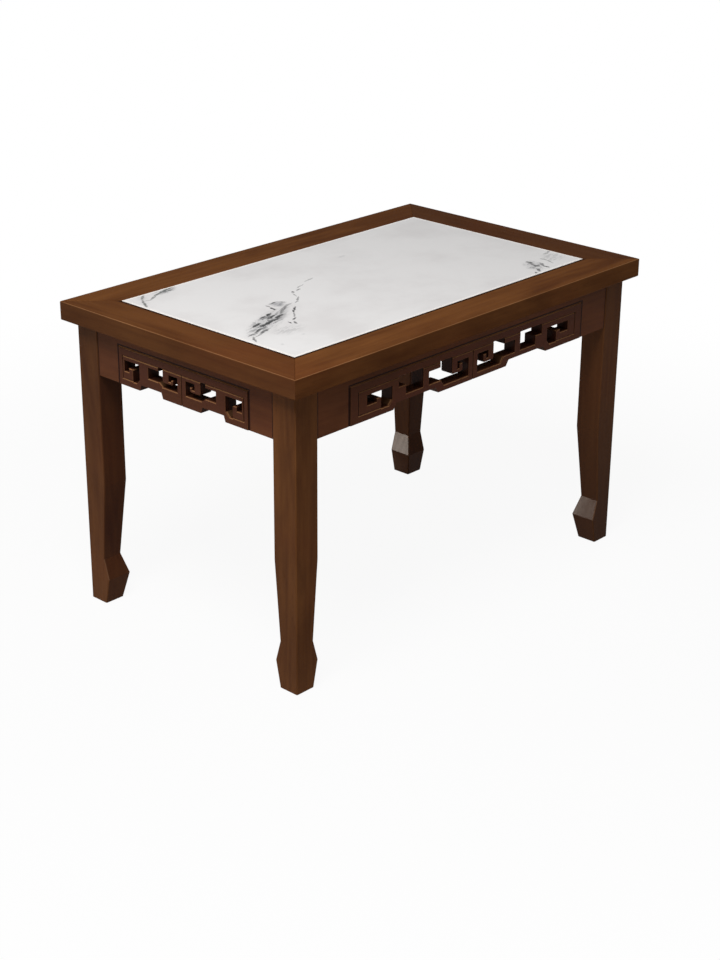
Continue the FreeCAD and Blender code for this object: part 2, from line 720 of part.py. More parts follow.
def bracket():
    """A bent steel angle for the front, its heel at the origin, against the apron and the top."""
    section = [
        (0, 0, BRACKET_BEND),
        (0, -BRACKET_ARM, 0),
        (BRACKET_THICKNESS, -BRACKET_ARM, 0),
        (BRACKET_THICKNESS, -BRACKET_THICKNESS, BRACKET_BEND - BRACKET_THICKNESS),
        (BRACKET_ARM, -BRACKET_THICKNESS, 0),
        (BRACKET_ARM, 0, 0),
    ]
    angle = rounded_face(section, in_end).extrude(Vector(BRACKET_WIDTH, 0, 0))
    angle.translate(Vector(-BRACKET_WIDTH / 2, 0, 0))
    drill = screw_hole(2 * BRACKET_THICKNESS)
    into_top = aimed(drill, Vector(0, BRACKET_HOLE_PLACE, -BRACKET_THICKNESS), UP)
    into_apron = aimed(drill, Vector(0, BRACKET_THICKNESS, -BRACKET_HOLE_PLACE), Vector(0, -1, 0))
    return angle.cut([into_top, into_apron])


def on_long_sides(shapes):
    """Shapes drawn at the front, with a copy of each at the back."""
    return shapes + [turned(shape, TURN_DEGREES["back"]) for shape in shapes]


def top_brackets():
    """Every bracket, seated on its apron and under the top."""
    brackets = []
    for x in bracket_places():
        placed = bracket()
        placed.translate(Vector(x, APRON_BACK - TABLE_WIDTH / 2, UNDERSIDE))
        brackets.append(placed)
    return on_long_sides(brackets)


def screws_at(places, length):
    """Screws of one length at the places given."""
    return [aimed(screw(length), point, direction) for point, direction in places]


def corner_screws(places, length):
    """Screws at the front left corner's places, repeated in all four corners."""
    screws = []
    for placed in screws_at(places, length):
        screws += list(in_corners(placed).values())
    return screws


def export(name, solids):
    """Write one node: a single solid, or a group of like solids."""
    shape = Part.makeCompound(solids) if isinstance(solids, list) else solids
    shape.exportStep("parts/" + name + ".step")


os.makedirs("parts", exist_ok=True)
for side_name in TURN_DEGREES:
    export("top_rail_" + side_name, top_rail(side_name))
    export("apron_" + side_name, apron(side_name))
    export("fret_panel_" + side_name, fret_panel(side_name))
for corner_name, solid in in_corners(mitre_tenon(0)).items():
    export("mitre_tenon_" + corner_name, solid)
for corner_name, solid in in_corners(front_left_leg()).items():
    export("leg_" + corner_name, solid)
for corner_name, solid in in_corners(front_left_block()).items():
    export("corner_block_" + corner_name, solid)
for batten_name in BATTEN_NAMES:
    export("batten_" + batten_name, batten(batten_name))
export("stone_slab", stone_slab())
export("slab_adhesive", slab_beads())
export("backing_board", backing_board())
export("batten_screws", screws_at(batten_screws(), BATTEN_SCREW_LENGTH))
export("corner_block_screws", corner_screws(block_screws(), BLOCK_SCREW_LENGTH))
export("top_screws", corner_screws([top_screw()], TOP_SCREW_LENGTH))
export("hanger_bolts", on_bolts(hanger_bolt(), FLAT_DISTANCE - BOLT_GRIP))
export("bolt_washers", on_bolts(washer(), BLOCK_FAR))
export("bolt_nuts", on_bolts(nut(), BLOCK_FAR + WASHER_THICKNESS))
export("top_brackets", top_brackets())
export("bracket_screws", on_long_sides(screws_at(bracket_screws(), BRACKET_SCREW_LENGTH)))
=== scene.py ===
import math

import bmesh
import bpy
from mathutils import Matrix, Vector


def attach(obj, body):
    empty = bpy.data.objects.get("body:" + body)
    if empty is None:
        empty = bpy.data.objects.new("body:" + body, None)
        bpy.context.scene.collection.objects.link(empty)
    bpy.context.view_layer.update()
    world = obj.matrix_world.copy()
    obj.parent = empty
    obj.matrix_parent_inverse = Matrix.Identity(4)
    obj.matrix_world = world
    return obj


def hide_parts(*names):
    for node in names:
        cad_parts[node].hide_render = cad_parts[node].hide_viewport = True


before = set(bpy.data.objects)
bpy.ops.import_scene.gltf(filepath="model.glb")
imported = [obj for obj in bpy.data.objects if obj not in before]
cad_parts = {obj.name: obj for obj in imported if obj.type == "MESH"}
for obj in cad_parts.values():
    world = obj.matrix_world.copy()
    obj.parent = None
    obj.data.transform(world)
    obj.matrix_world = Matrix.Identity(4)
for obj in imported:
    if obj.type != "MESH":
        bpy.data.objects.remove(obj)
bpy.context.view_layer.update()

# Legs. Four square walnut posts, sawn plumb outside, tapered inside to an ankle and turned in
# to a hoof. The grain runs up the post. Each is stained and sprayed with a satin lacquer, with
# painted shade on the sides that look across the table and low on the front right leg; the hoof
# slopes are burnished.


class Field:
    """A socket of a node tree, so that sums on it read as sums."""

    def __init__(self, tree, socket=None):
        self.tree = tree
        self.socket = socket

    def new(self, kind, sockets, out=0, **settings):
        """An output of a new node: its settings first, then the values or links of its sockets."""
        node = self.tree.nodes.new(kind)
        for name, value in settings.items():
            setattr(node, name, value)
        for key, value in sockets.items():
            if isinstance(value, Field):
                self.tree.links.new(value.socket, node.inputs[key])
            else:
                node.inputs[key].default_value = value
        return Field(self.tree, node.outputs[out])

    def math(self, operation, other=0.0):
        return self.new("ShaderNodeMath", {0: self, 1: other}, operation=operation)

    def __add__(self, other):
        return self.math("ADD", other)

    __radd__ = __add__

    def __mul__(self, other):
        return self.math("MULTIPLY", other)

    __rmul__ = __mul__

    def __sub__(self, other):
        return self.math("SUBTRACT", other)

    def __rsub__(self, other):
        return self.new("ShaderNodeMath", {0: other, 1: self}, operation="SUBTRACT")

    def __neg__(self):
        return 0 - self

    def __abs__(self):
        return self.math("ABSOLUTE")

    def larger(self, other):
        return self.math("MAXIMUM", other)

    def step(self, low, high):
        """0 below low, 1 above high and smooth between."""
        sockets = {0: self, 1: low, 2: high}
        return self.new("ShaderNodeMapRange", sockets, interpolation_type="SMOOTHSTEP")

    def axis(self, index):
        return self.new("ShaderNodeSeparateXYZ", {0: self}, out=index)

    def placed(self, turn=(0, 0, 0), scale=(1, 1, 1)):
        """Coordinates turned or scaled by a Mapping node."""
        return self.new("ShaderNodeMapping", {0: self, 2: turn, 3: scale})

    def drawn_out(self, share):
        """Coordinates on which a pattern is longer along X, its width this share of its length."""
        return self.placed(scale=(share, 1.0, 1.0))

    def noise(self, scale, detail=2.0, rough=0.5, warp=0.0, out=0):
        sockets = {"Vector": self, "Scale": scale, "Detail": detail, "Roughness": rough}
        return self.new("ShaderNodeTexNoise", {**sockets, "Distortion": warp}, out=out)

    def mixed(self, first, second):
        """Two colours mixed by this factor."""
        sockets = {0: self, 6: first, 7: second}
        return self.new("ShaderNodeMix", sockets, out=2, data_type="RGBA")

    def bump(self, strength, distance):
        """A normal that this height tilts."""
        sockets = {"Height": self, "Strength": strength, "Distance": distance}
        return self.new("ShaderNodeBump", sockets)


def rgb(red, green, blue):
    """A colour as it is seen on a screen, 0 to 255, in linear light."""
    linear = []
    for value in (red, green, blue):
        share = value / 255
        linear.append(share / 12.92 if share <= 0.04045 else ((share + 0.055) / 1.055) ** 2.4)
    return (*linear, 1.0)


def new_material(name):
    """A material with its shader node and its object coordinates."""
    material = bpy.data.materials.new(name)
    material.use_nodes = True
    tree = material.node_tree
    here = Field(tree).new("ShaderNodeTexCoord", {}, out="Object")
    return material, tree.nodes["Principled BSDF"], here


def surface(tree, output):
    """What the Geometry node says of the surface, such as its Normal."""
    return Field(tree).new("ShaderNodeNewGeometry", {}, out=output)


def plug(shader, **sockets):
    """Link fields to the shader's sockets, or set constants on them."""
    for name, value in sockets.items():
        socket = shader.inputs[name.replace("_", " ")]
        if isinstance(value, Field):
            value.tree.links.new(value.socket, socket)
        else:
            socket.default_value = value


DARK_WALNUT = rgb(80, 44, 22)
PALE_WALNUT = rgb(124, 78, 41)
WARM_WALNUT = rgb(114, 61, 34)
# the colour of the eased edges: partly wear, partly a painted highlight
RUBBED_AND_HIGHLIGHT_WALNUT = rgb(172, 124, 84)
OPEN_PORE = rgb(60, 33, 18)
RED_STAIN = rgb(101, 48, 42)
DEEP_STAIN_AND_SHADE = rgb(58, 34, 25)
END_LUSTRE = 0.07
SIDE_LUSTRE = 0.025


class Walnut:
    """Walnut with the grain turned to run along the piece.

    Stain, wear, painted shade and painted highlights are added in the order of the work, and
    seal() then gives the material.
    """

    def __init__(self, name, turn):
        self.material, self.shader, self.here = new_material(name)
        grain = self.here.placed(turn=turn)
        self.mottle = grain.drawn_out(0.3).noise(11.0, detail=3.0, warp=0.4).step(0.3, 0.7)
        figure = grain.drawn_out(0.07).noise(9.0, detail=3.0, rough=0.45, warp=0.3)
        rings = (figure * 70.0).math("SINE") * 0.5 + 0.5
        self.streak = grain.drawn_out(0.03).noise(95.0, detail=3.0, rough=0.6)
        self.patches = self.here.noise(3.2)
        self.pores = grain.drawn_out(0.045).noise(900.0, detail=1.0).step(0.6, 0.72)
        tone = self.mottle * 0.6 + rings * 0.14 + self.streak * 0.6 + self.patches * 0.3 - 0.32
        self.colour = tone.mixed(DARK_WALNUT, PALE_WALNUT)
        self.stain(self.patches.step(0.5, 0.75) * 0.35, WARM_WALNUT)
        self.stain(self.pores * 0.25, OPEN_PORE)
        self.normal = surface(self.here.tree, "Normal")
        self.up = self.normal.axis(2)
        self.endwise = abs(self.normal.axis(0))
        self.sidewise = abs(self.normal.axis(1))

    def stain(self, share, colour):
        """Mix this share of a colour in."""
        self.colour = share.mixed(self.colour, colour)

    def redden(self, share):
        self.stain((self.patches + self.mottle) * share, RED_STAIN)

    # a deeper tone, partly stain and partly painted shade on the right-hand pieces, where the
    # light falls off
    def deepen_stain_and_shade(self, share):
        self.stain((self.mottle + 1) * share, DEEP_STAIN_AND_SHADE)

    def rub_and_highlight(self, upright=0.08):
        """Lighten the eased edges, partly wear and partly a painted highlight strongest on edges
        facing up; less on upright ones, not in the mitres.
        """
        widest = self.endwise.larger(self.sidewise)
        narrowest = self.endwise.math("MINIMUM", self.sidewise)
        eased = 1 - widest.larger(abs(self.up)).step(0.84, 0.95)
        mitre = narrowest.step(0.15, 0.35) * self.up.step(0.3, 0.6)
        # edges that face up are lightened most: a painted highlight
        worn_and_lit = self.up.step(0.05, 0.5) * 0.55 + upright
        self.stain(eased * (1 - mitre) * worn_and_lit * (self.mottle * 0.7 + 0.5), RUBBED_AND_HIGHLIGHT_WALNUT)

    def seal(self, sheen, burnished=0.0):
        """Lacquer the wood, which then shines more on upright faces and where it is burnished."""
        height = self.streak * 0.3 - self.pores * 0.8
        rough = self.streak * 0.12 + self.pores * 0.15 + 0.42
        lustre = self.endwise.step(0.9, 0.97) * END_LUSTRE
        lustre += self.sidewise.step(0.9, 0.97) * SIDE_LUSTRE
        lustre = lustre.larger(burnished)
        plug(self.shader, Base_Color=self.colour, Roughness=rough, Normal=height.bump(0.2, 0.0004))
        plug(self.shader, Coat_Weight=lustre, Coat_Roughness=0.16, Specular_IOR_Level=sheen)
        return self.material


WELD_REACH = 0.00001
SLIVER = 0.000005
FLAT_ANGLE = math.radians(0.5)
EASED_ANGLE = math.radians(25)


def finish(node, material, easing=0.0):
    """Give a CAD node its material, and ease its sharp edges by this much."""
    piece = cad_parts[node]
    piece.data.materials.clear()
    piece.data.materials.append(material)
    if easing:
        piece.modifiers.new("weld", "WELD").merge_threshold = WELD_REACH
        flat = piece.modifiers.new("flat", "DECIMATE")
        flat.decimate_type = "DISSOLVE"
        flat.angle_limit = FLAT_ANGLE
        ease = piece.modifiers.new("ease", "BEVEL")
        ease.width = easing
        ease.segments = 2
        ease.limit_method = "ANGLE"
        ease.angle_limit = EASED_ANGLE
        piece.modifiers.new("slivers", "WELD").merge_threshold = SLIVER


QUARTER = math.pi / 2
GRAIN_UP = (0, QUARTER, 0)
INNER_SHADE = rgb(40, 16, 16)
FOOT_SHADE = rgb(36, 17, 10)
HOOF_TOP = 0.12
LEG_SHEEN = 0.024
LEG_EASING = 0.0007
LEG_TONES = {
    # the depth of the stain, partly painted shade on the right-hand legs, and the painted shade
    # towards the foot
    "front_left": (0.0, 0.0),
    "front_right": (0.2, 0.52),
    "back_left": (0.08, 0.0),
    "back_right": (0.12, 0.0),
}
for corner, (deep, foot) in LEG_TONES.items():
    leg_wood = Walnut("walnut_leg_" + corner, GRAIN_UP)
    leg_wood.deepen_stain_and_shade(deep)
    height = leg_wood.here.axis(2)
    # Painted shade: the faces that look across the table are darkened.
    inward = -(leg_wood.here.axis(1) * leg_wood.normal.axis(1))
    leg_wood.stain(inward.step(0.1, 0.2) * 0.55, INNER_SHADE)
    # Painted shade: the front right leg darkens towards the foot.
    leg_wood.stain((1 - height.step(0.05, 0.55)) * foot, FOOT_SHADE)
    leg_wood.rub_and_highlight()
    slope = leg_wood.up.step(0.12, 0.2) * (1 - leg_wood.up.step(0.4, 0.55))
    slope *= 1 - height.step(HOOF_TOP - 0.002, HOOF_TOP + 0.002)
    burnished = slope * leg_wood.endwise.step(0.6, 0.8) * (leg_wood.streak * 0.8 + 0.35)
    finish("leg_" + corner, leg_wood.seal(LEG_SHEEN, burnished), LEG_EASING)

# Aprons. Four walnut boards on edge, tenoned into the legs, each with a window that is open
# below. The grain runs along the board, and stain gathers at the legs and round the window.
GRAIN = {"lengthwise": (0, 0, 0), "crosswise": (0, 0, -QUARTER)}
SIDES = {"lengthwise": ("front", "back"), "crosswise": ("left", "right")}
JOINT_DARK = rgb(40, 17, 12)
# the dark joint round the apron windows, and painted shade in the fret panels' V line
JOINT_LINE_AND_SHADE = rgb(34, 12, 9)
WINDOW_TOP = 0.677
SKIRT_SHEEN = 0.028
APRON_EASING = 0.0006
APRON_SPANS = {
    # the axis along the board, half the span between its legs and half its window
    "lengthwise": (0, 0.5065, 0.4085),
    "crosswise": (1, 0.2815, 0.2095),
}
for run, (axis, half_span, half_window) in APRON_SPANS.items():
    apron_wood = Walnut("walnut_apron_" + run, GRAIN[run])
    apron_wood.redden(0.25)
    apron_wood.rub_and_highlight()
    reach = abs(apron_wood.here.axis(axis))
    apron_wood.stain(reach.step(half_span - 0.003, half_span - 0.002) * 0.85, JOINT_DARK)
    outside = (reach - half_window).larger(apron_wood.here.axis(2) - WINDOW_TOP)
    underside = (-apron_wood.up).step(0.6, 0.8)
    apron_wood.stain((1 - outside.step(0.003, 0.0045)) * (1 - underside) * 0.9, JOINT_LINE_AND_SHADE)
    apron_finish = apron_wood.seal(SKIRT_SHEEN)
    for side in SIDES[run]:
        finish("apron_" + side, apron_finish, APRON_EASING)

# Fret panels. Pierced walnut boards, sawn and cleaned up by hand, with a V line cut round
# the pattern, slid up into the aprons on a tongue. Painted shade darkens the openings and the V
# line.
WALL_SHADE = rgb(28, 14, 10)
LINE_DEPTH = (0.0002, 0.0010)
WALL_DEPTH = (0.0027, 0.007)
FRET_EASING = 0.0004
FRET_FACES = {
    # the axis that a panel faces along, and the distance of its face
    "lengthwise": (1, 0.349),
    "crosswise": (0, 0.574),
}
for run, (axis, face) in FRET_FACES.items():
    fret_wood = Walnut("walnut_fret_" + run, GRAIN[run])
    fret_wood.redden(0.4)
    fret_wood.deepen_stain_and_shade(0.22)
    fret_wood.rub_and_highlight(upright=0.25)
    depth = face - abs(fret_wood.here.axis(axis))
    below_line = depth.step(*WALL_DEPTH)
    # Painted shade on the walls of the V line that do not face up.
    line = depth.step(*LINE_DEPTH) * (1 - below_line) * (1 - fret_wood.up.step(0.3, 0.6))
    fret_wood.stain(line * 0.9, JOINT_LINE_AND_SHADE)
    # Painted shade on the walls of the openings, deeper than the V line.
    outer = abs(fret_wood.normal.axis(axis)).larger(-fret_wood.up)
    fret_wood.stain(below_line * (1 - outer.step(0.6, 0.8)) * 0.75, WALL_SHADE)
    fret_finish = fret_wood.seal(SKIRT_SHEEN)
    for side in SIDES[run]:
        finish("fret_panel_" + side, fret_finish, FRET_EASING)

# Corner blocks. Planed pale hardwood left bare, because it is seen only from below; glued
# and screwed across each corner behind the aprons, with the grain running from board to board.
DARK_HARDWOOD = rgb(140, 96, 58)
PALE_HARDWOOD = rgb(186, 142, 98)
HARDWOOD_PORE = rgb(104, 66, 38)
BARE_SHEEN = 0.1
BLOCK_EASING = 0.0006
DIAGONAL = math.radians(45)


def hardwood(name, turn):
    """Bare planed hardwood, with the grain turned to run along the piece."""
    material, shader, here = new_material(name)
    grain = here.placed(turn=turn)
    streak = grain.drawn_out(0.05).noise(60.0, detail=4.0, rough=0.55)
    pores = grain.drawn_out(0.06).noise(800.0, detail=1.0).step(0.6, 0.75)
    wood = (pores * 0.35).mixed(streak.mixed(DARK_HARDWOOD, PALE_HARDWOOD), HARDWOOD_PORE)
    bump = (streak * 0.4 - pores * 0.6).bump(0.3, 0.0004)
    plug(shader, Base_Color=wood, Roughness=streak * 0.15 + 0.5, Normal=bump)
    plug(shader, Specular_IOR_Level=BARE_SHEEN)
    return material


rising = hardwood("block_wood_rising", (0, 0, DIAGONAL))
falling = hardwood("block_wood_falling", (0, 0, -DIAGONAL))
BLOCK_WOOD = {
    "front_left": rising, "back_right": rising, "front_right": falling, "back_left": falling,
}
for corner, wood in BLOCK_WOOD.items():
    finish("corner_block_" + corner, wood, BLOCK_EASING)

# Block screws. Zinc-plated pan-head wood screws with a cross slot, two through each block
# into the aprons. Their heads sit in bores, and rings of thread grip the wood.
DULL_ZINC = rgb(150, 152, 156)
BRIGHT_ZINC = rgb(190, 192, 195)
zinc_steel, zinc_shader, zinc_place = new_material("zinc_steel")
spangle = zinc_place.noise(260.0, detail=3.0, rough=0.6)
scratch = zinc_place.placed(scale=(1.0, 1.0, 0.05)).noise(900.0)
plug(zinc_shader, Base_Color=spangle.mixed(DULL_ZINC, BRIGHT_ZINC), Metallic=1.0)
plug(zinc_shader, Roughness=spangle * 0.2 + 0.28, Normal=scratch.bump(0.1, 0.0001))

FULL_TURN = 2 * math.pi
TURN_STEPS = 24
TOUCHING = 0.000001


def spun(shape, points, steps, **how):
    """Spin a line through these points round Z, and merge what then touches."""
    points = [shape.verts.new(point) for point in points]
    line = points + [shape.edges.new(pair) for pair in zip(points, points[1:])]
    bmesh.ops.spin(
        shape, geom=line, cent=(0, 0, 0), axis=(0, 0, 1), angle=FULL_TURN, steps=steps, **how
    )
    bmesh.ops.remove_doubles(shape, verts=shape.verts, dist=TOUCHING)


def turned(profile):
    """A body turned round Z from a profile of radius and height."""
    shape = bmesh.new()
    spun(shape, [(radius, 0.0, height) for radius, height in profile], TURN_STEPS, use_merge=True)
    return shape


def threaded(root, crest, start, end, pitch):
    """The profile of a thread as rings from start to end."""
    profile = []
    for turn in range(int((end - start) / pitch)):
        profile += [(root, start + turn * pitch), (crest, start + (turn + 0.5) * pitch)]
    return profile


HEAD_TOP = -0.0024
PAN_HEAD = [(0.0026, HEAD_TOP), (0.0035, -0.0019), (0.0039, -0.0012), (0.0039, 0.0), (0.0017, 0.0)]
SCREW_ROOT, SCREW_CREST, SCREW_PITCH, SCREW_START = 0.0014, 0.0019, 0.0016, 0.001
POINT_LENGTH, POINT_RADIUS = 0.004, 0.0013
SLOT_HALF, SLOT_REACH, SLOT_DEPTH = 0.00045, 0.002, 0.0014


def wood_screw(length):
    """A pan-head screw along Z, its head just under Z 0 and its point at length."""
    taper = length - POINT_LENGTH
    thread = threaded(SCREW_ROOT, SCREW_CREST, SCREW_START, taper, SCREW_PITCH)
    shape = turned(PAN_HEAD + thread + [(POINT_RADIUS, taper), (0.0, length)])
    rim = [edge for edge in shape.edges if edge.is_boundary]
    halfway = (SLOT_HALF + SLOT_REACH) / 2
    arm = [
        (SLOT_REACH, -SLOT_HALF), (SLOT_REACH, 0.0), (SLOT_REACH, SLOT_HALF), (halfway, SLOT_HALF),
        (SLOT_HALF, SLOT_HALF), (SLOT_HALF, halfway), (SLOT_HALF, SLOT_REACH),
    ]
    spun(shape, [(x, y, HEAD_TOP) for x, y in arm], 4, use_duplicate=True)
    mouth = [edge for edge in shape.edges if edge.is_wire]
    walls = bmesh.ops.extrude_edge_only(shape, edges=mouth)["geom"]
    sunk = [part for part in walls if isinstance(part, bmesh.types.BMVert)]
    bmesh.ops.translate(shape, verts=sunk, vec=(0, 0, SLOT_DEPTH))
    foot = [edge for edge in shape.edges if all(vert in sunk for vert in edge.verts)]
    bmesh.ops.contextual_create(shape, geom=foot)
    bmesh.ops.bridge_loops(shape, edges=rim + mouth)
    return shape


def along(seat, aim):
    """The matrix that takes Z to the direction aim and the origin to seat."""
    turn = Vector((0, 0, 1)).rotation_difference(Vector(aim))
    return Matrix.Translation(seat) @ turn.to_matrix().to_4x4()


def at_four_corners(seat, aim):
    """The same place at each corner of the table."""
    for x_side in (1, -1):
        for y_side in (1, -1):
            flip = Vector((x_side, y_side, 1))
            yield along(flip * Vector(seat), flip * Vector(aim))


SMOOTH_ANGLE = 0.6


def set_fasteners(node, pattern, places):
    """Copies of one fastener at these places, in place of the plain CAD node."""
    bmesh.ops.recalc_face_normals(pattern, faces=pattern.faces)
    sample = bpy.data.meshes.new(node + "_sample")
    joined = bmesh.new()
    for place in places:
        copy = pattern.copy()
        bmesh.ops.transform(copy, matrix=place, verts=copy.verts)
        copy.to_mesh(sample)
        copy.free()
        joined.from_mesh(sample)
    for face in joined.faces:
        face.smooth = True
    for edge in joined.edges:
        edge.smooth = edge.calc_face_angle(0.0) < SMOOTH_ANGLE
    mesh = bpy.data.meshes.new(node + "_detailed")
    joined.to_mesh(mesh)
    joined.free()
    pattern.free()
    bpy.data.meshes.remove(sample)
    mesh.materials.append(zinc_steel)
    piece = bpy.data.objects.new(node + "_detailed", mesh)
    bpy.context.scene.collection.objects.link(piece)
    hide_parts(node)
    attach(piece, "root")


BLOCK_LEVEL = 0.670
BLOCK_SCREW_LENGTH = 0.028
block_places = [
    *at_four_corners((-0.459544, -0.309, BLOCK_LEVEL), (0, -1, 0)),
    *at_four_corners((-0.534, -0.234544, BLOCK_LEVEL), (-1, 0, 0)),
]
set_fasteners("corner_block_screws", wood_screw(BLOCK_SCREW_LENGTH), block_places)

# Hanger bolts. One threaded rod in each leg, along the diagonal of the corner, drawn up
# behind the block by a washer and a hexagon nut. All zinc-plated stock.
LEG_CORNER = Vector((-0.574, -0.349, BLOCK_LEVEL))
INWARD = Vector((1, 1, 0)).normalized()
ROD_START, ROD_LENGTH, ROD_END = 0.04756, 0.080, 0.0028
ROD_ROOT, ROD_CREST, ROD_PITCH = 0.0033, 0.0039, 0.00125
ROD_THREAD = (0.0008, 0.079)


def on_bolts(distance):
    """Places at this distance from the legs' outer corners, on the line of each bolt."""
    return at_four_corners(LEG_CORNER + INWARD * distance, INWARD)


rod = [(0.0, 0.0), (ROD_END, 0.0)]
rod += threaded(ROD_ROOT, ROD_CREST, *ROD_THREAD, ROD_PITCH)
rod += [(ROD_END, ROD_LENGTH), (0.0, ROD_LENGTH)]
set_fasteners("hanger_bolts", turned(rod), on_bolts(ROD_START))

WASHER_START = 0.11556
WASHER_RING = (
    (0.0049, 0.0002), (0.0051, 0.0), (0.0087, 0.0), (0.0090, 0.0003), (0.0090, 0.0013),
    (0.0087, 0.0016), (0.0051, 0.0016), (0.0049, 0.0014), (0.0049, 0.0002),
)
set_fasteners("bolt_washers", turned(WASHER_RING), on_bolts(WASHER_START))

NUT_START, NUT_FLAT, NUT_BORE, NUT_THICKNESS = 0.11716, 0.0065, 0.0041, 0.0065
NUT_SIDES = 6
CHAMFER = math.tan(math.radians(30))
nut = bmesh.new()
bmesh.ops.create_circle(nut, segments=NUT_SIDES, radius=2 * NUT_FLAT / math.sqrt(3))
bmesh.ops.subdivide_edges(nut, edges=nut.edges, cuts=TURN_STEPS // NUT_SIDES - 1)
bmesh.ops.create_circle(nut, segments=TURN_STEPS, radius=NUT_BORE)
bmesh.ops.bridge_loops(nut, edges=nut.edges)
raised = bmesh.ops.extrude_face_region(nut, geom=nut.faces, use_keep_orig=True)["geom"]
raised = [part for part in raised if isinstance(part, bmesh.types.BMVert)]
bmesh.ops.translate(nut, verts=raised, vec=(0, 0, NUT_THICKNESS))
for vert in nut.verts:
    beyond = max(0.0, vert.co.xy.length - NUT_FLAT) * CHAMFER
    vert.co.z += beyond if vert.co.z < NUT_THICKNESS / 2 else -beyond
set_fasteners("bolt_nuts", nut, on_bolts(NUT_START))

# Top frame. Four wide walnut rails mitred at the corners over loose hardwood tenons, with a
# fine V cut along each mitre, rounded outside and rebated inside for the slab. On two of
# them dark filler shows along the slab.
SLAB_HALF_LENGTH = 0.5014
SLAB_HALF_WIDTH = 0.2764
FILLER_DARK = rgb(32, 16, 9)
FILLER_WIDTH = (0.006, 0.009)
FILLER_LEVEL = (0.744, 0.747)
RAIL_SHEEN = 0.002
RAIL_EASING = 0.0005
RAIL_TONES = {
    # the run of the grain, the depth of the stain (partly painted shade on the right rail) and
    # whether the filler shows
    "front": ("lengthwise", 0.0, True),
    "right": ("crosswise", 0.30, False),
    "back": ("lengthwise", 0.06, False),
    "left": ("crosswise", 0.12, True),
}


def beyond_slab(here):
    """The distance outside the slab's edge, less than 0 on the slab."""
    beside = abs(here.axis(0)) - SLAB_HALF_LENGTH
    return beside.larger(abs(here.axis(1)) - SLAB_HALF_WIDTH)


for side, (run, deep, filled) in RAIL_TONES.items():
    rail_wood = Walnut("walnut_rail_" + side, GRAIN[run])
    rail_wood.deepen_stain_and_shade(deep)
    rail_wood.rub_and_highlight()
    if filled:
        filler = 1 - beyond_slab(rail_wood.here).step(*FILLER_WIDTH)
        filler *= rail_wood.here.axis(2).step(*FILLER_LEVEL)
        rail_wood.stain(filler * 0.9, FILLER_DARK)
    finish("top_rail_" + side, rail_wood.seal(RAIL_SHEEN), RAIL_EASING)
for corner, wood in BLOCK_WOOD.items():
    finish("mitre_tenon_" + corner, wood)

# Battens. Three planed hardwood bars under the board, tenoned into the long rails, with a
# screw near each end up into the board.
BATTEN_EASING = 0.0005
BATTEN_SPACING, BATTEN_SCREW_REACH, BATTEN_UNDERSIDE = 0.3012, 0.1542, 0.705
BATTEN_SCREW_LENGTH = 0.028
batten_wood = hardwood("batten_wood", GRAIN["crosswise"])
batten_places = []
for place, step in (("left", -1), ("middle", 0), ("right", 1)):
    finish("batten_" + place, batten_wood, BATTEN_EASING)
    for end in (-1, 1):
        seat = (step * BATTEN_SPACING, end * BATTEN_SCREW_REACH, BATTEN_UNDERSIDE)
        batten_places.append(along(seat, (0, 0, 1)))
set_fasteners("batten_screws", wood_screw(BATTEN_SCREW_LENGTH), batten_places)

# Backing board. Birch plywood cut to lie in the rebate, its faces sanded and its plies
# showing at the edges; the battens carry it.
DARK_BIRCH = rgb(176, 134, 92)
PALE_BIRCH = rgb(212, 176, 132)
CROSS_PLY = rgb(128, 88, 54)
PLY_PAIR = 0.0028
plywood, plywood_shader, plywood_place = new_material("plywood")
veneer = plywood_place.drawn_out(0.08).noise(45.0, detail=4.0, rough=0.6, warp=0.4)
plies = ((plywood_place.axis(2) * (FULL_TURN / PLY_PAIR)).math("SINE") * 0.5 + 0.5).step(0.4, 0.6)
sawn = 1 - abs(surface(plywood.node_tree, "Normal").axis(2)).step(0.3, 0.7)
birch = (sawn * plies * 0.6).mixed(veneer.mixed(DARK_BIRCH, PALE_BIRCH), CROSS_PLY)
plug(plywood_shader, Base_Color=birch, Specular_IOR_Level=BARE_SHEEN)
plug(plywood_shader, Roughness=veneer * 0.1 + 0.52, Normal=veneer.bump(0.2, 0.0004))
finish("backing_board", plywood)

# Silicone beads. Clear-grey neutral silicone, run out of a tube and squeezed flat between
# slab and board.
GREY_SILICONE = rgb(196, 196, 192)
CLEAR_SILICONE = rgb(222, 222, 218)
silicone, silicone_shader, silicone_place = new_material("silicone")
smear = silicone_place.noise(120.0)
plug(silicone_shader, Base_Color=smear.mixed(GREY_SILICONE, CLEAR_SILICONE))
plug(silicone_shader, Roughness=smear * 0.2 + 0.3, Normal=smear.bump(0.2, 0.0004))
finish("slab_adhesive", silicone)

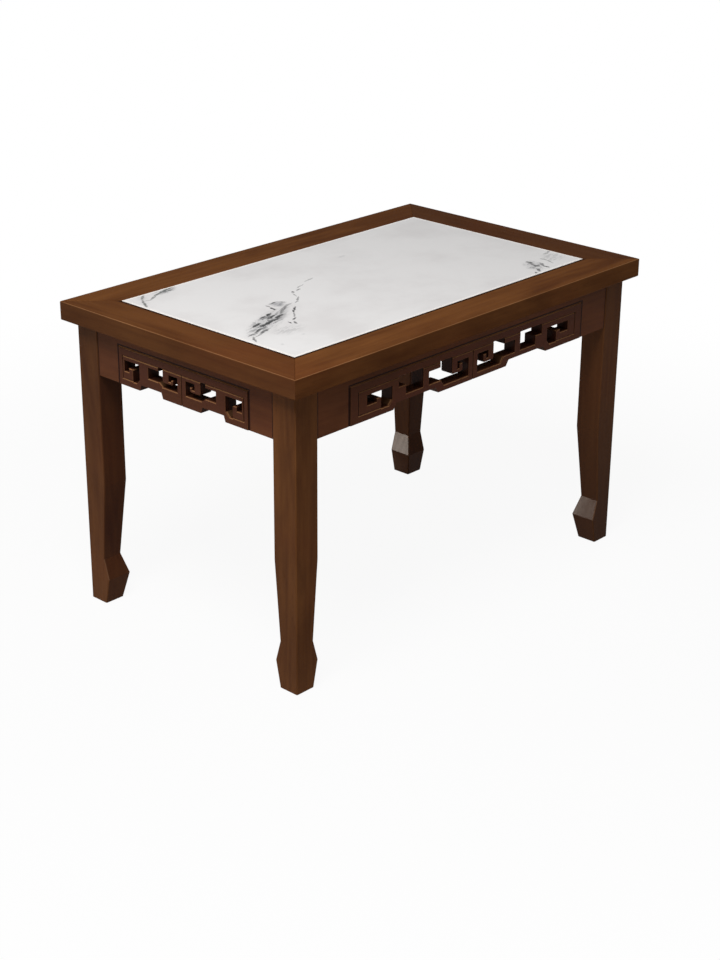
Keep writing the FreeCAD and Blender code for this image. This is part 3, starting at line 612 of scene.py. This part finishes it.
# Stone slab. One polished white slab with broken charcoal veins, laid flush in the frame,
# its upper edge ground to a small arris. The veins run where the quarry block had cracked
# and healed: short dark strokes, in a band, that thin out into grey.
CHARCOAL_STROKES = (
    # from x, y to x, y, then the half width, all in millimetres, and the depth of colour
    (-428, -74, -396, -66, 5.5, 1.0), (-410, -84, -372, -75, 6.0, 1.0),
    (-380, -78, -344, -69, 5.0, 0.95), (-375, -44, -352, -36, 5.0, 0.85),
    (-352, -40, -328, -32, 5.5, 1.0), (-364, -56, -332, -47, 6.0, 1.0),
    (-350, -67, -318, -54, 5.5, 1.0), (-318, -48, -262, -15, 6.0, 0.7),
    (-297, -30, -246, -12, 4.5, 0.6), (-300, -2, -309, -22, 4.5, 1.0),
    (-288, 16, -262, 18, 4.0, 0.8), (-265, 16, -250, -2, 4.0, 0.65),
    (-300, 16, -301, -4, 3.5, 0.6), (-294, -66, -258, -36, 4.0, 1.0),
    (-291, -65, -315, -93, 3.0, 0.6), (-330, -100, -313, -94, 4.5, 0.9),
    (-346, -102, -347, -116, 4.0, 0.95), (-333, -109, -342, -127, 4.0, 0.85),
    (-450, -106, -416, -91, 5.5, 0.85), (-446, -117, -409, -107, 5.0, 0.8),
    (-478, -112, -445, -108, 4.5, 0.7), (-470, -122, -490, -150, 4.0, 0.75),
    (-468, -126, -441, -118, 3.0, 0.55), (-183, 47, -188, 38, 4.5, 1.0),
    (-200, 10, -226, -11, 3.0, 0.6), (-192, 34, -204, 12, 2.4, 0.45),
    (-240, -20, -222, -10, 3.0, 0.5), (-172, 43, -156, 49, 4.0, 0.7),
    (-158, 56, -128, 66, 3.0, 0.45), (386, -190, 381, -216, 7.0, 0.85),
    (375, -214, 373, -242, 6.0, 0.85), (356, -246, 344, -269, 6.0, 0.85),
    (333, -261, 323, -277, 6.0, 1.0), (402, -220, 386, -246, 5.0, 0.7),
    (386, -240, 385, -261, 5.0, 0.9), (486, -180, 500, -178, 4.5, 0.6),
)
MOSS_STROKES = (
    (-334, 281, -382, 264, 6.5, 0.95), (-365, 252, -394, 260, 5.5, 0.75),
    (-372, 269, -428, 247, 5.5, 0.95), (-422, 249, -452, 233, 4.0, 0.8),
    (-435, 277, -467, 247, 4.5, 0.8), (-464, 250, -496, 195, 4.5, 0.8),
    (-468, 239, -449, 230, 3.5, 0.5), (-108, 80, -73, 87, 4.0, 0.45),
    (428, -198, 431, -222, 4.0, 0.65), (431, -218, 420, -247, 3.5, 0.55),
    (464, -184, 490, -181, 4.5, 0.5),
)
HAZE_STROKES = (
    (-290, 10, -258, -8, 24.0, 0.8), (-302, -34, -250, -13, 15.0, 0.4),
    (-440, 283, -492, 204, 18.0, 0.24), (89, 159, 118, 162, 9.0, 0.26),
    (-466, -198, -458, -204, 9.0, 0.22), (-388, -182, -378, -190, 9.0, 0.2),
)
VEIL_STROKES = (
    (-468, -112, -290, -30, 36.0, 0.75), (396, -196, 350, -252, 30.0, 0.6),
    (-416, 254, -345, 272, 24.0, 0.55), (-388, -112, -384, -170, 60.0, 0.16),
    (450, -190, 470, -240, 50.0, 0.22),
)
WHITE_STONE = rgb(239, 237, 236)
CLOUDED_STONE = rgb(229, 226, 225)
EDGE_HIGHLIGHT_STONE = rgb(255, 249, 243)
HAZE_GREY = rgb(134, 134, 138)
VEIL_GREY = rgb(150, 150, 153)
SPLINTER_GREY = rgb(52, 53, 56)
MOSS_GREY = rgb(60, 68, 60)
CHARCOAL = rgb(13, 13, 16)
MILLIMETRE = 0.001
STROKE_OVERRUN = 1.3
TEAR_REACH = 0.016
VEIN_BEARING = math.radians(-17)
HIGHLIGHT_MARGIN = 0.009
SLAB_SHEEN = 0.06
SLAB_EASING = 0.0003


def drawn(torn, strokes, core=0.5):
    """The deepest of a set of strokes at each point, each fading out beyond its core."""
    deepest = 0.0
    for x0, y0, x1, y1, half_width, depth in strokes:
        run = Vector((x1 - x0, y1 - y0, 0.0)) * MILLIMETRE
        middle = Vector((x0 + x1, y0 + y1, 0.0)) * (MILLIMETRE / 2)
        turn = (0.0, 0.0, math.atan2(run.y, run.x))
        size = (run.length / 2 * STROKE_OVERRUN, half_width * MILLIMETRE, 1.0 / MILLIMETRE)
        sockets = {0: torn, 1: middle, 2: turn, 3: size}
        local = torn.new("ShaderNodeMapping", sockets, vector_type="TEXTURE")
        reach = local.new("ShaderNodeVectorMath", {0: local}, out=1, operation="LENGTH")
        deepest = ((1 - reach.step(core, 1.0)) * depth).larger(deepest)
    return deepest


veined_stone, stone_shader, stone_place = new_material("veined_stone")
shake = stone_place.noise(42.0, detail=5.0, rough=0.72, out=1)
shake = shake.new("ShaderNodeVectorMath", {0: shake, 1: (0.5, 0.5, 0.5)}, operation="SUBTRACT")
shake = shake.new("ShaderNodeVectorMath", {0: shake, 3: TEAR_REACH}, operation="SCALE")
torn = shake.new("ShaderNodeVectorMath", {0: stone_place, 1: shake}, operation="ADD")
cloud = stone_place.noise(5.0, detail=4.0, rough=0.55)
grit = stone_place.noise(170.0, detail=3.0, rough=0.6)
bearing = torn.placed(turn=(0.0, 0.0, VEIN_BEARING))
splinters = bearing.drawn_out(0.22).noise(150.0, detail=3.0, rough=0.6)
stone = cloud.step(0.42, 0.72).mixed(WHITE_STONE, CLOUDED_STONE)
haze = drawn(torn, HAZE_STROKES, 0.1) * (splinters.step(0.35, 0.65) * 0.7 + 0.45)
stone = haze.mixed(stone, HAZE_GREY)
veil = drawn(torn, VEIL_STROKES, 0.2)
stone = (veil * 0.5).mixed(stone, VEIL_GREY)
stone = (veil * splinters.step(0.46, 0.58) * 1.2).mixed(stone, SPLINTER_GREY)
moss = drawn(torn, MOSS_STROKES) * (splinters.step(0.35, 0.6) * 0.4 + 0.6)
stone = moss.mixed(stone, MOSS_GREY)
veins = drawn(torn, CHARCOAL_STROKES) * (grit.step(0.35, 0.55) * 0.4 + 0.65)
stone = veins.mixed(stone, CHARCOAL)
# A painted highlight: the stone is lighter along its edge, where the arris catches the light.
highlight_margin = beyond_slab(stone_place).step(-HIGHLIGHT_MARGIN, -HIGHLIGHT_MARGIN / 3)
stone = (highlight_margin * 0.85).mixed(stone, EDGE_HIGHLIGHT_STONE)
plug(stone_shader, Base_Color=stone, Roughness=cloud * 0.1 + 0.2, Normal=grit.bump(0.05, 0.0001))
plug(stone_shader, Specular_IOR_Level=SLAB_SHEEN, Coat_Weight=highlight_margin, Coat_Roughness=0.1)
finish("stone_slab", veined_stone, SLAB_EASING)

# Brackets and top screws. Bent zinc-plated angles hold the long aprons to the top with two
# screws each, and a long screw goes up through each corner block into the top.
BRACKET_EASING = 0.0003
BRACKET_X = 0.2026
BRACKET_FLAT_SCREW = (-0.302, 0.703)
BRACKET_WALL_SCREW = (-0.315, 0.690)
BRACKET_SCREW_LENGTH = 0.018
TOP_SCREW_LENGTH = 0.042
TOP_SCREW_SEAT = (-0.485216, -0.291328, 0.683)
finish("top_brackets", zinc_steel, BRACKET_EASING)
bracket_places = []
for x in (-BRACKET_X, BRACKET_X):
    for side in (1, -1):
        for (y, z), aim in ((BRACKET_FLAT_SCREW, (0, 0, 1)), (BRACKET_WALL_SCREW, (0, -side, 0))):
            bracket_places.append(along((x, y * side, z), aim))
set_fasteners("bracket_screws", wood_screw(BRACKET_SCREW_LENGTH), bracket_places)
top_places = at_four_corners(TOP_SCREW_SEAT, (0, 0, 1))
set_fasteners("top_screws", wood_screw(TOP_SCREW_LENGTH), top_places)

# Studio. A white floor that runs past the horizon under a white surround, one large soft
# lamp above the left end, a weak low strip that lights the slopes of the hoofs, and the
# camera of the photograph. The floor is clear from below.
WHITE = (1.0, 1.0, 1.0, 1.0)
FLOOR_HALF = 40.0
FLOOR_BOUNCE = (0.68, 0.68, 0.68, 1.0)
FLOOR_WHITE = (0.95, 0.95, 0.95, 1.0)
FLOOR_GLOW_SHARE = 0.93
FLOOR_NEAR = 0.9
FLOOR_FAR = 2.4
floor_mesh = bpy.data.meshes.new("floor")
floor_shape = bmesh.new()
bmesh.ops.create_grid(floor_shape, x_segments=1, y_segments=1, size=FLOOR_HALF)
floor_shape.to_mesh(floor_mesh)
floor_shape.free()
floor = bpy.data.objects.new("floor", floor_mesh)
bpy.context.scene.collection.objects.link(floor)


def seen_directly(tree):
    """1 for what the camera sees, straight or in metal and glass, 0 for light on its way."""
    seen = Field(tree).new("ShaderNodeLightPath", {}, out="Is Camera Ray")
    for ray in ("Is Glossy Ray", "Is Transmission Ray"):
        seen = seen.larger(seen.new("ShaderNodeLightPath", {}, out=ray))
    return seen


floor_material, floor_shader, floor_place = new_material("floor_white")
floor_tree = floor_material.node_tree
seen = seen_directly(floor_tree)
plug(floor_shader, Base_Color=seen.mixed(FLOOR_BOUNCE, FLOOR_WHITE))
plug(floor_shader, Roughness=0.9, Specular_IOR_Level=0.0)
paper = Field(floor_tree, floor_shader.outputs[0])
glow = seen.new("ShaderNodeEmission", {"Color": WHITE, "Strength": 1.0})
distance = floor_place.new("ShaderNodeVectorMath", {0: floor_place}, out=1, operation="LENGTH")
share = distance.step(FLOOR_NEAR, FLOOR_FAR) * (1.0 - FLOOR_GLOW_SHARE) + FLOOR_GLOW_SHARE
lit_paper = seen.new("ShaderNodeMixShader", {0: seen * share, 1: paper, 2: glow})
below = surface(floor_tree, "Backfacing")
clear = below.new("ShaderNodeBsdfTransparent", {})
one_sided = below.new("ShaderNodeMixShader", {0: below, 1: lit_paper, 2: clear})
floor_output = floor_tree.nodes["Material Output"]
floor_tree.links.new(one_sided.socket, floor_output.inputs["Surface"])
floor_mesh.materials.append(floor_material)

SURROUND_LIGHT = 0.17
world = bpy.data.worlds.new("studio")
bpy.context.scene.world = world
world.use_nodes = True
background = world.node_tree.nodes["Background"]
background.inputs["Color"].default_value = WHITE
strength = seen_directly(world.node_tree) * (1.0 - SURROUND_LIGHT) + SURROUND_LIGHT
world.node_tree.links.new(strength.socket, background.inputs["Strength"])


def softbox(name, place, aim, width, height, power, spread=180.0, colour=(1.0, 1.0, 1.0)):
    """A soft rectangular lamp that points at a spot."""
    lamp = bpy.data.lights.new(name, "AREA")
    lamp.color = colour
    lamp.shape = "RECTANGLE"
    lamp.size = width
    lamp.size_y = height
    lamp.energy = power
    lamp.spread = math.radians(spread)
    holder = bpy.data.objects.new(name, lamp)
    holder.location = place
    holder.rotation_euler = (Vector(aim) - Vector(place)).to_track_quat("-Z", "Y").to_euler()
    holder.visible_camera = False
    bpy.context.scene.collection.objects.link(holder)


softbox(
    "key", place=(-1.8, -0.75, 3.45), aim=(0.0, 0.0, 0.6), width=1.6, height=1.6, power=88.0
)
softbox(
    "low_strip", place=(-1.25, 1.2, 0.2), aim=(0.515, 0.0, 0.1), width=1.1, height=0.24,
    power=0.13, spread=30.0, colour=(1.0, 0.85, 0.72),
)

CAMERA_PLACE = (-3.09912, -2.86265, 2.04661)
CAMERA_YAW = math.radians(47.29)
CAMERA_PITCH = math.radians(23.26)
CAMERA_ROLL = math.radians(0.43)
camera_data = bpy.data.cameras.new("camera")
camera_data.sensor_width = 36.0
camera_data.lens = 69.715
camera = bpy.data.objects.new("camera", camera_data)
bpy.context.scene.collection.objects.link(camera)
level = Vector((math.cos(CAMERA_YAW), -math.sin(CAMERA_YAW), 0.0))
onward = Vector((math.sin(CAMERA_YAW), math.cos(CAMERA_YAW), 0.0))
ahead = onward * math.cos(CAMERA_PITCH) + Vector((0.0, 0.0, -math.sin(CAMERA_PITCH)))
upright = level.cross(ahead)
right = level * math.cos(CAMERA_ROLL) + upright * math.sin(CAMERA_ROLL)
top = upright * math.cos(CAMERA_ROLL) - level * math.sin(CAMERA_ROLL)
turn = Matrix((right, top, -ahead)).transposed().to_4x4()
camera.matrix_world = Matrix.Translation(CAMERA_PLACE) @ turn
bpy.context.scene.camera = camera
bpy.context.scene.view_settings.view_transform = "Standard"
